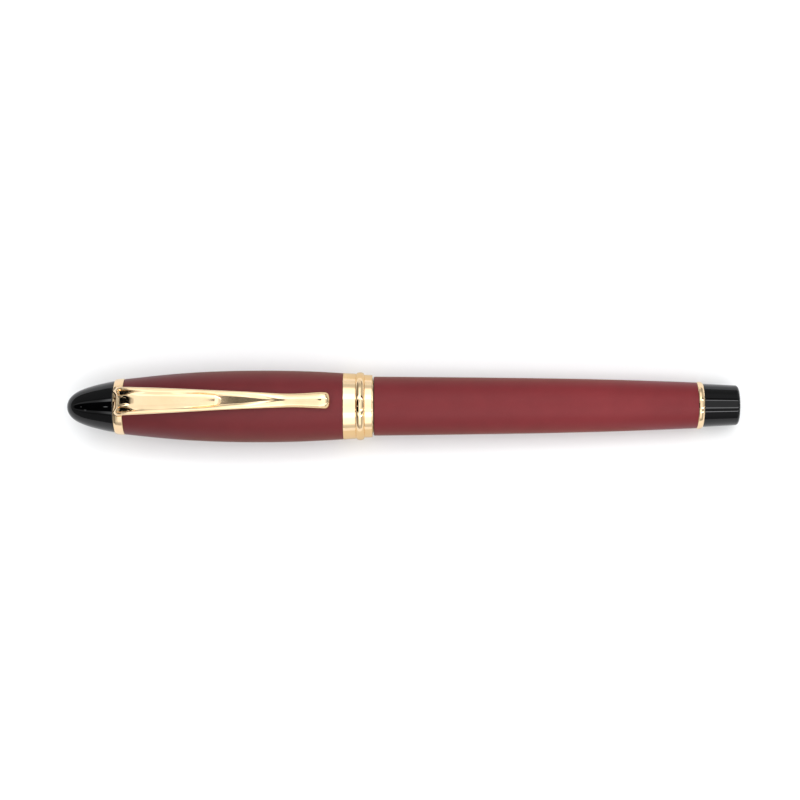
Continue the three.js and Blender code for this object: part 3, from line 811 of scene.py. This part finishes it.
def relief(x, across, half):
    """Height of the clip's top against its crest: rails, hollow and tongue."""
    hollow = max(hollow_half_width(x), 0.0)
    depth = max(hollow_depth(x), 0.0) * smooth(-126.78, -126.32, x)
    root = 1 - smooth(-125.2, -121.6, x)
    # rail: a soft hollow flank up to the crest
    reach = (half - hollow) * (0.50 * root + 0.66 * (1 - root))
    flank = np.clip((across - hollow) / max(reach, TINY), 0, 1)
    height = np.where(across < hollow, -depth, -depth * (1 - flank) ** 2)
    width = tongue_half_width(x, hollow, root)
    if width > 0.02:
        tongue = tongue_height(x, across, width, depth, root)
        height = np.where(across < width, tongue, height)
    crown = 0.40 * smooth(-101, -93, x)
    return height - crown * (across / half) ** 2


def root_wave(x, across):
    """The root edge waves: each rail runs a little further than the middle."""
    share = across / 2.87
    lobe = 0.50 * np.exp(-(((share - 0.72) / 0.20) ** 2))
    lobe = lobe + 0.12 * np.exp(-(((share - 1.0) / 0.2) ** 2))
    return x + (0.40 - lobe) * np.clip((-125.9 - x) / 1.7, 0, 1) ** 1.3


def clip_section(x):
    """One closed ring of points: the top from -Y to +Y, then back underneath."""
    half = max(outline_half_width(x), 0.25)
    share = np.linspace(-1, 1, 2 * TOP_STEPS + 1)
    y = np.sign(share) * (1 - (1 - np.abs(share)) ** 1.25) * half
    across = np.abs(y)
    # the upper edge is rounder at the free end
    upper_edge = 0.50 + 0.32 * smooth(-86.2, -84.4, x)
    ring_follow = np.clip((-126.0 - x) / 1.5, 0, 1) * 0.18
    top = clip_crest(x) + relief(x, across, max(half, 0.3))
    top = top - edge_fall(depth_inside(x, across), upper_edge) - sag(y, 5.9) * ring_follow
    top_x = root_wave(x, across)

    under_y = np.linspace(half, -half, BOTTOM_STEPS + 2)[1:-1]
    across = np.abs(under_y)
    under = underside(x, under_y) + edge_fall(depth_inside(x, across), BOTTOM_EDGE)
    under = np.minimum(under, top[TOP_STEPS] - 0.1)
    under_x = root_wave(x, across)

    # two points down each side wall keep it upright
    low = min(underside(x, half) + BOTTOM_EDGE, top[-1] - 0.05)
    return [
        *zip(top_x, y, top),
        (top_x[-1], half, (top[-1] + low) / 2),
        (top_x[-1], half, low),
        *zip(under_x, under_y, under),
        (top_x[0], -half, low),
        (top_x[0], -half, (top[0] + low) / 2),
    ]


def clip():
    # stations bunch up at both ends and at the tongue's nose
    start = CLIP_START + START_CORNER * 1.6 * (1 - np.cos(np.linspace(0, math.pi / 2, 20)))
    end = CLIP_END - END_CORNER * 1.3 * (1 - np.cos(np.linspace(0, math.pi / 2, 24)))
    stations = np.concatenate([
        start, np.linspace(start[-1], -121, 72), np.linspace(-121, end[-1], 210),
        np.linspace(-107.4, -105.3, 30), end,
    ])
    sections = [clip_section(x) for x in np.unique(np.round(stations, 5))]
    ob = loft("clip_fine", sections, sharp=50)
    boolean(ob, box("clip_tab", (-127.25, -1.0, 3.5), (-126.65, 1.0, 6.5), 0.08), "UNION")
    stand_for(ob, "clip")


clip()

# ================================================================== inside the cap
turned("finial_stud", rounded([
    (-132.8, 0), (-132.8, 1.9, 0.15), (-122.9, 1.95, 0.2), (-122.6, 1.7, 0.1), (-122.6, 0),
]), 96)
turned("cap_liner", rounded([
    (-124.1, 2.04), (-124.1, 4.56, 0.15), (-120.2, 5.12, 1.0), (-116.2, 5.6, 1.0),
    (-112.2, 6.08, 1.5), (-77.85, 6.1, 0.08), (-77.85, 5.78, 0.05), (-79.2, 5.72, 0.5),
    (-98.9, 5.5, 0.1), (-99.35, 5.2, 0.1), (-99.35, 4.45, 0.05), (-112, 4.2, 2.0),
    (-120.4, 3.75, 0.6), (-121.9, 2.6, 0.2), (-121.9, 2.04),
], 6), 128)


# ================================================================== section
def tooth(x, angle, lead, half_width, starts=1):
    """Height from 0 to 1 of a flat-topped helical tooth; half_width is a share of its pitch."""
    place = (starts * (x / lead - angle / (2 * math.pi))) % 1.0
    return np.clip(1.35 * (1 - abs(place - 0.5) / half_width), 0, 1)


def threaded(x, radius, angle, start, end, height):
    """Radius of a thread whose ends run out; a negative height points inwards."""
    fade = window(x, start - 0.1, end + 0.1, THREAD_PITCH * 0.7)
    return radius + height * fade * tooth(x, angle, THREAD_PITCH, half_width=0.32)


def section_thread():
    start, end, core = -73.3, -69.6, 4.27

    def radial(x, radius, angle):
        if 4.2 < radius < 4.29 and start - 0.05 < x < end + 0.05:
            return threaded(x, radius, angle, start, end, height=0.28)
        return radius

    before = rounded([(-83.1, 3.74), (-83.1, 4.3, 0.1), (-74.0, 4.3)])[:-1]
    after = rounded([
        (end, core), (-66.25, core, 0.2), (-66.0, 4.05, 0.1), (-66.0, 3.74, 0.05),
        (-83.1, 3.74),
    ])[1:-1]
    thread = [(x, core) for x in np.linspace(start, end, 75)]
    turned("section_thread", before + thread + after, 128, radial)


def barrel_insert():
    start, end, bore = -74.4, -70.3, 4.86

    def radial(x, radius, angle):
        return threaded(x, radius, angle, start, end, height=-0.2) if radius == bore else radius

    sleeve = rounded([
        (-74.7, 4.95, 0.05), (-74.7, 5.27, 0.08), (-65.2, 5.27, 0.08), (-65.2, 4.64, 0.05),
        (end, 4.64),
    ])[:-1]
    thread = [(x, bore) for x in np.linspace(end, start, 80)]
    turned("barrel_insert", sleeve + thread, 128, radial)


def section_grip():
    radius = Spline([
        (-98.7, 4.47), (-98.2, 4.53), (-97.4, 4.46), (-96.2, 4.385), (-94.5, 4.37), (-92, 4.46),
        (-88, 4.69), (-84, 4.94), (-80, 5.18), (-78, 5.30), (-76.9, 5.36),
    ])
    turned("section_grip", (
        rounded([(-99.0, 3.4), (-99.0, 4.2, 0.18), (-98.7, 4.47)])[1:-1]
        + trace(radius, np.linspace(-98.7, -76.95, 90))
        + rounded([(-76.95, 5.36), (-76.6, 5.34, 0.1), (-76.6, 4.36)])[1:-1]
        + [(-76.6, 4.36), (-83.25, 4.36), (-83.25, 1.4), (-83.95, 1.4), (-83.95, 3.35),
           (-99.0, 3.35)]
    ))


section_thread()
barrel_insert()
turned("section_ring", rounded([
    (-76.56, 4.76), (-76.56, 5.40, 0.06), (-76.35, 5.55, 0.2), (-75.95, 5.625, 0.5),
    (-75.6, 5.56, 0.2), (-75.35, 5.46, 0.1), (-74.96, 5.46, 0.06), (-74.96, 4.76),
], 8))
section_grip()
turned("nib_housing", rounded([
    (-98.7, 2.92, 0.05), (-98.7, 3.3, 0.1), (-84.1, 3.3, 0.1), (-84.1, 1.25, 0.1),
    (-78.2, 1.15, 0.1), (-77.8, 0.9, 0.1), (-77.8, 0.5, 0.03), (-85.6, 0.5), (-85.6, 2.92),
]), 96)


# ------------------------------------------------------------------ feed and nib
def feed():
    """An elliptical rod with a nose, air slots cut in its lower side, and an ink channel."""
    top_of = Spline([
        (-114.3, 0.62), (-112, 1.3), (-108, 1.95), (-104, 2.2), (-100, 2.3), (-86, 2.3),
    ])
    bottom_of = Spline([
        (-114.3, 0.30), (-113.2, -0.45), (-110.5, -1.4), (-107, -2.05), (-103, -2.38),
        (-99, -2.4), (-86, -2.4),
    ])
    half_width_of = Spline([
        (-114.3, 0.25), (-113.4, 0.62), (-112, 1.05), (-108, 1.9), (-104, 2.3), (-100, 2.4),
        (-86, 2.4),
    ])
    slots, first_slot, slot_pitch, slot_half = 13, -100.35, 0.72, 0.22
    slot_depth = 0.42  # share of the radius
    channel_half, channel_depth = 0.16, 0.22
    stations = np.concatenate([
        np.linspace(-114.3, -112.5, 14), np.linspace(-112.5, -99.9, 190),
        np.linspace(-99.9, -86, 24),
    ])
    sections = []
    for x in np.unique(np.round(stations, 5)):
        top, bottom, half_width = top_of(x), bottom_of(x), half_width_of(x)
        centres = [first_slot - i * slot_pitch for i in range(slots)]
        slot = max(window(x, c - slot_half, c + slot_half, 0.06) for c in centres)
        slot *= smooth(-112.6, -110.5, x)
        ring = []
        for k in range(72):
            angle = 2 * math.pi * k / 72
            side, up = math.sin(angle), math.cos(angle)
            low = np.clip((0.22 - up) / 0.12, 0, 1)
            shrink = 1 - slot_depth * slot * low
            y = half_width * side * shrink
            z = (top + bottom) / 2 + (top - bottom) / 2 * up * (shrink if up < 0.2 else 1)
            channel = math.exp(-((y / channel_half) ** 2)) if up > 0.6 else 0
            ring.append((x, y, z - channel_depth * channel))
        sections.append(ring)
    stand_for(loft("feed_fine", sections, sharp=30), "feed")


def nib():
    """A curved sheet with swept shoulders, a slit and a breather hole."""
    half_width_of = Spline([
        (-119.85, 0.36), (-118.6, 0.66), (-116.6, 1.06), (-114.5, 1.55), (-111.5, 2.28),
        (-108.6, 2.98), (-106.6, 3.40), (-105.3, 3.53), (-104.2, 3.47), (-102.6, 3.15),
        (-101, 2.82), (-99.4, 2.62), (-96, 2.6), (-91, 2.6),
    ])
    top_of = Spline([
        (-119.85, 1.0), (-118, 1.38), (-115, 1.93), (-111, 2.47), (-107, 2.77), (-103, 2.85),
        (-99, 2.86), (-91, 2.86),
    ])
    radius_of = Spline([
        (-119.85, 2.4), (-117, 2.55), (-114, 2.85), (-110, 3.4), (-107, 3.62), (-104.5, 3.66),
        (-102.5, 3.35), (-100.6, 2.98), (-99, 2.86), (-96, 2.86), (-91, 2.86),
    ])
    sheet = 0.34
    edge_width, edge_thinning = 0.25, 0.10
    hole_radius, hole_x = 0.62, -108.9
    slit_half, slit_end = 0.05, -109.2
    stations = np.concatenate([np.linspace(-119.85, -99, 110), np.linspace(-99, -91, 12)])
    sections = []
    for x in np.unique(np.round(stations, 5)):
        radius, half_width = radius_of(x), half_width_of(x)
        centre = top_of(x) - radius
        widest = math.asin(min(half_width / radius, 0.972))
        outer, inner = [], []
        for k in range(41):
            share = -1 + 2 * k / 40
            from_edge = (1 - abs(share)) * half_width
            lip = edge_thinning * (1 - min(1, from_edge / edge_width)) ** 2
            angle = share * widest
            for points, r in ((outer, radius - lip), (inner, radius - sheet + lip * 0.6)):
                points.append((x, r * math.sin(angle), centre + r * math.cos(angle)))
        sections.append(outer + inner[::-1])
    ob = loft("nib_fine", sections, sharp=40)
    hole = revolve("hole_cut", [(-3, 0), (-3, hole_radius), (3, hole_radius), (3, 0)], 48)
    hole.data.transform(Matrix.Rotation(math.pi / 2, 4, "Y"))
    hole.data.transform(Matrix.Translation(Vector((hole_x * MM, 0, 3 * MM))))
    boolean(ob, hole, "DIFFERENCE")
    slit = box("slit_cut", (-121, -slit_half, -3), (slit_end, slit_half, 5))
    boolean(ob, slit, "DIFFERENCE")
    stand_for(ob, "nib")


def nib_tip():
    """A small ball, flattened more below, where it meets the paper."""
    half_length, radius = 0.55, 0.46
    outline = [(-half_length, 0)]
    outline += [
        (-half_length * math.cos(a), radius * math.sin(a))
        for a in np.linspace(0.12, math.pi - 0.12, 24)
    ]
    tip = revolve("nib_tip_fine", outline + [(half_length, 0)], 48)
    for v in tip.data.vertices:
        v.co.z *= 0.9 if v.co.z > 0 else 0.82
    tip.data.transform(Matrix.Translation(Vector((-120.41 * MM, 0, 0.78 * MM))))
    stand_for(tip, "nib_tip")


feed()
nib()
nib_tip()


# ================================================================== converter
def flatted(radius, angle, half_flat):
    """Cut a circle with two flats that face +Y and -Y."""
    return min(radius, half_flat / max(abs(math.sin(angle)), TINY))


def converter_guide():
    bore = 1.4
    turned("converter_guide", rounded([
        (-52.0, bore, 0.05), (-52.0, 2.93, 0.1), (-48.95, 2.93), (-48.95, 3.51, 0.05),
        (-48.4, 3.51, 0.05), (-48.4, bore, 0.03),
    ]), 96, lambda x, r, angle: flatted(bore, angle, 1.05) if r < 1.46 else r)


def converter_knob():
    rib_start, rib_end, ribs, rib_depth = -28.95, -19.65, 28, 0.24

    def ribbed(x, radius, angle):
        """Rounded grip ribs, run out at both ends."""
        if radius < 3.5 or not rib_start < x < rib_end:
            return radius
        groove = (0.5 - 0.5 * math.cos(ribs * angle)) ** 2.2
        return radius - rib_depth * window(x, rib_start, rib_end, 0.65) * groove

    turned("converter_knob", (
        rounded([
            (-30.8, 2.38, 0.05), (-30.8, 3.5, 0.12), (-30.5, 3.62, 0.2), (-29.3, 3.62, 0.1),
            (-29.1, 3.50, 0.08), (-28.95, 3.66),
        ])[:-1]
        + [(x, 3.68) for x in np.linspace(-28.9, -19.7, 40)]
        + rounded([
            (-19.7, 3.68), (-19.5, 3.6, 0.1), (-18.5, 3.45, 0.5), (-18.0, 2.6, 0.6), (-18.0, 0),
        ], 8)[1:]
        + [(-19.4, 0), (-19.4, 1.6), (-22.0, 1.6), (-22.0, 2.38)]
    ), 224, ribbed)


def piston_rod():
    """Coarse two-start thread with two flats, and the stub that carries the seal."""
    core, thread_start = 1.05, -52.1

    def radial(x, radius, angle):
        if radius < 1.0 or x < thread_start - 0.02:
            return radius
        fade = smooth(thread_start, -51.6, x) * (1 - smooth(-21.9, -21.2, x))
        height = 0.25 * fade * tooth(x, angle, lead=2.6, half_width=0.38, starts=2)
        return flatted(core + height, angle, 0.95)

    stub = [
        (-55.4, 0), (-55.4, core), (-54.4, core), (-54.4, 0.75), (-52.15, 0.75), (-52.15, core),
    ]
    thread = [(x, core) for x in np.arange(thread_start, -21.2, 0.10)]
    end = [(-21.15, 1.0), (-21.0, 0.85), (-21.0, 0)]
    turned("piston_rod", stub + thread + end, 64, radial, sharp=30)


turned("converter_mouth", rounded([
    (-82.6, 1.35, 0.1), (-82.6, 3.2, 0.15), (-82.1, 3.42, 0.2), (-79.55, 3.45, 0.05),
    (-79.55, 2.93), (-77.2, 2.9, 0.08), (-77.2, 2.2, 0.1), (-77.6, 1.35, 0.1),
]), 96)
turned("converter_tube", rounded([
    (-79.5, 3.0, 0.05), (-79.5, 3.55, 0.12), (-49.0, 3.55, 0.05), (-49.0, 3.0, 0.05),
]), 128)
converter_guide()
turned("converter_collar", rounded([
    (-50.6, 3.59, 0.04), (-50.6, 3.8, 0.1), (-50.3, 3.85, 0.3), (-33.4, 3.85, 0.05),
    (-33.25, 3.74, 0.05), (-33.0, 3.74, 0.05), (-32.85, 3.85, 0.05), (-31.4, 3.85, 0.3),
    (-31.1, 3.7, 0.1), (-31.1, 2.78, 0.05), (-32.2, 2.78), (-32.2, 3.59),
], 6), 128)
turned("knob_spindle", rounded([
    (-48.2, 1.4, 0.05), (-48.2, 2.65, 0.15), (-34.3, 2.65, 0.1), (-34.3, 3.4, 0.1),
    (-32.4, 3.4, 0.1), (-32.4, 2.65, 0.05), (-31.0, 2.65), (-31.0, 2.28), (-22.2, 2.28, 0.1),
    (-22.2, 1.5), (-44.0, 1.5), (-44.0, 1.4),
]), 96)
converter_knob()
piston_rod()
turned("piston_seal", rounded([
    (-56.2, 0), (-56.2, 2.7, 0.15), (-56.0, 2.93, 0.1), (-55.5, 2.93, 0.1), (-55.2, 2.6, 0.15),
    (-53.3, 2.6, 0.15), (-53.0, 2.93, 0.1), (-52.5, 2.93, 0.1), (-52.3, 2.7, 0.1),
    (-52.3, 0.82, 0.05), (-54.3, 0.82), (-54.3, 1.12), (-55.5, 1.12), (-55.5, 0),
]), 96)

# ================================================================== stage
# the pen rests on the cap's belly and the tail ring, so the floor leans: (x, radius) in mm
BELLY = (-98.5, 7.385)
TAIL = (-7.85, 4.885)
FLOOR_DROP = 7.42  # mm below the axis at the belly
LEAN = math.atan((BELLY[1] - TAIL[1]) / (TAIL[0] - BELLY[0]))


def floor_material():
    m = Material("pale_floor")
    pale = m.mottle(m.noise(6.0), (0.845, 0.845, 0.845), (0.865, 0.865, 0.865))
    # painted reflection: only in reflections is it a little deeper, with a warmer round patch under
    # the pen
    place = m.new("ShaderNodeSeparateXYZ")
    m.put(place.inputs["Vector"], m.new("ShaderNodeNewGeometry").outputs["Position"])
    x, y = m.add(place.outputs["X"], 0.0677), place.outputs["Y"]
    away = m.math("SQRT", m.add(m.multiply(x, x), m.multiply(y, y)))
    patch = m.remap(away, 0.0485, 0.0515)
    painted_reflection_colour = m.mix(patch, (0.63, 0.575, 0.47), (0.755, 0.755, 0.765))
    color = m.mix(m.new("ShaderNodeLightPath").outputs["Is Glossy Ray"], pale, painted_reflection_colour)
    normal = m.bump(m.noise(900, detail=2.0), strength=0.05, distance=0.0002)
    return m.finish(color, 0.75, normal, specular=0.15)


def make_floor():
    mesh = bpy.data.meshes.new("floor")
    bm = bmesh.new()
    bmesh.ops.create_grid(bm, x_segments=8, y_segments=8, size=6.0)
    bm.to_mesh(mesh)
    bm.free()
    floor = link_object("floor", mesh)
    place = Matrix.Translation(Vector((BELLY[0] * MM, 0, -FLOOR_DROP * MM)))
    floor.matrix_world = place @ Matrix.Rotation(-LEAN, 4, "Y")
    mesh.materials.append(floor_material())
    floor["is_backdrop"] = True


ELEVATION = math.radians(81.5)  # of the camera; the room turns with it


def grey_curve(g, value, stops):
    """A grey curve through (position, strength) stops, strengths up to 3."""
    peak = 3
    node = g.new("ShaderNodeValToRGB")
    ramp = node.color_ramp
    ramp.interpolation = "LINEAR"
    while len(ramp.elements) < len(stops):
        ramp.elements.new(0.5)
    for element, (position, strength) in zip(ramp.elements, stops):
        element.position = position
        element.color = (strength / peak, strength / peak, strength / peak, 1)
    g.put(node.inputs["Fac"], value)
    return g.multiply(node.outputs["Color"], float(peak))


def make_world():
    """The studio room, drawn by direction: a ceiling plane with bright strips and dim walls."""
    world = bpy.data.worlds.new("studio")
    bpy.context.scene.world = world
    world.use_nodes = True
    g = Graph(world.node_tree)
    g.tree.nodes.clear()

    coord = g.new("ShaderNodeTexCoord")
    turn = g.new("ShaderNodeVectorRotate", rotation_type="X_AXIS")
    turn.inputs["Angle"].default_value = -(math.pi / 2 - ELEVATION)
    g.put(turn.inputs["Vector"], coord.outputs["Generated"])
    split = g.new("ShaderNodeSeparateXYZ")
    g.put(split.inputs["Vector"], turn.outputs["Vector"])
    x, y, z = split.outputs
    # place on the ceiling plane, along and across the pen
    height = g.math("MAXIMUM", z, 0.03)
    along, across = g.math("DIVIDE", x, height), g.math("DIVIDE", y, height)

    def toward_cap(value, start, end):
        return g.step(g.multiply(value, -1.0), start, end)

    def spot(centre, radii, soft):
        """1 inside an ellipse of the ceiling plane, falling off round its rim."""
        u = g.math("DIVIDE", g.subtract(along, centre[0]), radii[0])
        v = g.math("DIVIDE", g.subtract(across, centre[1]), radii[1])
        away = g.math("SQRT", g.add(g.multiply(u, u), g.multiply(v, v)))
        return g.subtract(1.0, g.step(away, 1 - soft, 1 + soft))

    # angle off the zenith across the pen, as a share of 90 degrees
    tilt = g.math("ABSOLUTE", g.math("ARCTANGENT", g.subtract(across, 0.03)))
    tilt = g.math("DIVIDE", tilt, math.pi / 2)
    # a broad bright ceiling with two brighter strips in it, and dim walls outside
    total = grey_curve(g, tilt, [
        (0.0, 1.40), (0.025, 1.42), (0.055, 1.48), (0.24, 1.6), (0.30, 2.3), (0.43, 2.2),
        (0.50, 1.65), (0.70, 1.5), (0.755, 1.0), (0.80, 0.70), (0.90, 0.66), (0.95, 0.85),
        (1.0, 0.95),
    ])
    # it falls off towards the cap's end
    total = g.weaken(total, toward_cap(along, -0.02, 0.24), share=0.32)
    off_strip = g.math("ABSOLUTE", g.subtract(tilt, 0.335))
    strip = g.subtract(1.0, g.step(off_strip, 0.055, 0.085))
    # past the barrel the ceiling is dimmer, with thin lamp lines: (across, half-width, level)
    past = g.step(x, 0.150, 0.200)
    dim = g.add(0.39, g.multiply(g.band(across, -0.27, 0.56, soft=0.02), 0.45))
    dim = g.subtract(dim, g.multiply(g.step(tilt, 0.62, 0.80), 0.10))
    for middle, half, level in ((0.52, 0.035, 4.4), (-0.25, 0.050, 3.7), (-0.70, 0.040, 6.8)):
        line = g.band(across, middle - half, middle + half, soft=0.02)
        dim = g.add(dim, g.multiply(line, level))
    dim = g.weaken(dim, g.band(across, 0.62, 0.80, soft=0.03), share=0.8)
    total = g.blend(total, dim, past)
    # towards the cap's end the room is unlit, apart from the far ends of the strips
    far = toward_cap(x, 0.290, 0.365)
    total = g.blend(total, g.add(0.09, g.multiply(g.step(tilt, 0.40, 0.54), 0.14)), far)
    strip_end = g.weaken(strip, toward_cap(along, 0.50, 0.85), share=0.80)
    strip_level = g.add(1.5, g.multiply(g.step(across, -0.1, 0.1), 1.1))
    total = g.add(total, g.multiply(g.multiply(strip_end, far), strip_level))
    tunnel = g.multiply(far, g.subtract(1.0, g.step(tilt, 0.25, 0.29)))
    total = g.weaken(total, tunnel, share=0.98)
    # towards the barrel's end it is dimmer still
    total = g.weaken(total, g.step(x, 0.48, 0.77), share=0.62)
    # low down beyond the barrel's end the pale walls come back
    total = g.blend(total, 0.62, g.multiply(g.step(x, 0.29, 0.36), g.step(tilt, 0.40, 0.50)))
    # the dim end wall beyond the cap
    total = g.blend(total, 0.30, toward_cap(x, 0.93, 0.99))
    # the dark lens, and three small lamps at the far end
    total = g.blend(total, 0.15, spot((-0.070, 0.31), radii=(0.066, 0.115), soft=0.12))
    for centre in ((-0.57, 0.0), (-1.23, 0.0), (-1.05, -0.42)):
        lamp = spot(centre, radii=(0.045, 0.026), soft=0.4)
        total = g.add(total, g.multiply(lamp, 4.5))
    # the horizon is dimmer at both ends
    horizon = g.subtract(1.0, g.step(z, 0.0, 0.06))
    level = g.subtract(g.subtract(0.85, g.multiply(far, 0.62)), g.multiply(past, 0.50))
    total = g.blend(total, level, horizon)
    # seen directly, behind the floor, the room is one plain pale tone
    total = g.blend(total, 0.88, g.new("ShaderNodeLightPath").outputs["Is Camera Ray"])
    background = g.new("ShaderNodeBackground")
    background.inputs["Color"].default_value = (0.98, 0.99, 1.0, 1)
    g.put(background.inputs["Strength"], total)
    g.put(g.new("ShaderNodeOutputWorld").inputs["Surface"], background.outputs[0])


def make_fill():
    """Broad overhead fill for the floor and matt surfaces, kept out of reflections."""
    data = bpy.data.lights.new("overhead_fill", "AREA")
    data.shape = "RECTANGLE"
    data.size, data.size_y = 1.3, 1.0
    data.energy = 6.3
    fill = link_object("overhead_fill", data)
    fill.matrix_world = Matrix.Translation(Vector((-0.02, -0.05, 0.95)))
    fill.visible_glossy = False
    fill.visible_camera = False
    fill.visible_transmission = False


def make_camera():
    """Looks down on the pen's middle from the -Y side."""
    distance, roll = 0.430, math.radians(-0.14)
    data = bpy.data.cameras.new("camera")
    data.sensor_width = 36
    data.lens = 94
    data.clip_start = 0.01
    camera = link_object("camera", data)
    view = Vector((0, -math.cos(ELEVATION), math.sin(ELEVATION)))
    up = Vector((0, math.sin(ELEVATION), math.cos(ELEVATION)))
    target = Vector((-0.06949, 0, 0)) + up * 0.00125
    turn = Matrix((up.cross(view), up, view)).transposed().to_4x4()
    place = Matrix.Translation(target + view * distance)
    camera.matrix_world = place @ turn @ Matrix.Rotation(roll, 4, "Z")
    bpy.context.scene.camera = camera


make_floor()
make_world()
make_fill()
bpy.context.scene.view_settings.view_transform = "Standard"
bpy.context.scene.view_settings.exposure = 0.12
make_camera()

bpy.context.view_layer.update()
NEW_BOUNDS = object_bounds()


def plain(v):
    """Nested vectors as lists of floats."""
    try:
        return [plain(i) for i in v]
    except TypeError:  # v is a single number
        return float(v)


{"cad": plain(CAD_BOUNDS), "visual": plain(NEW_BOUNDS)}
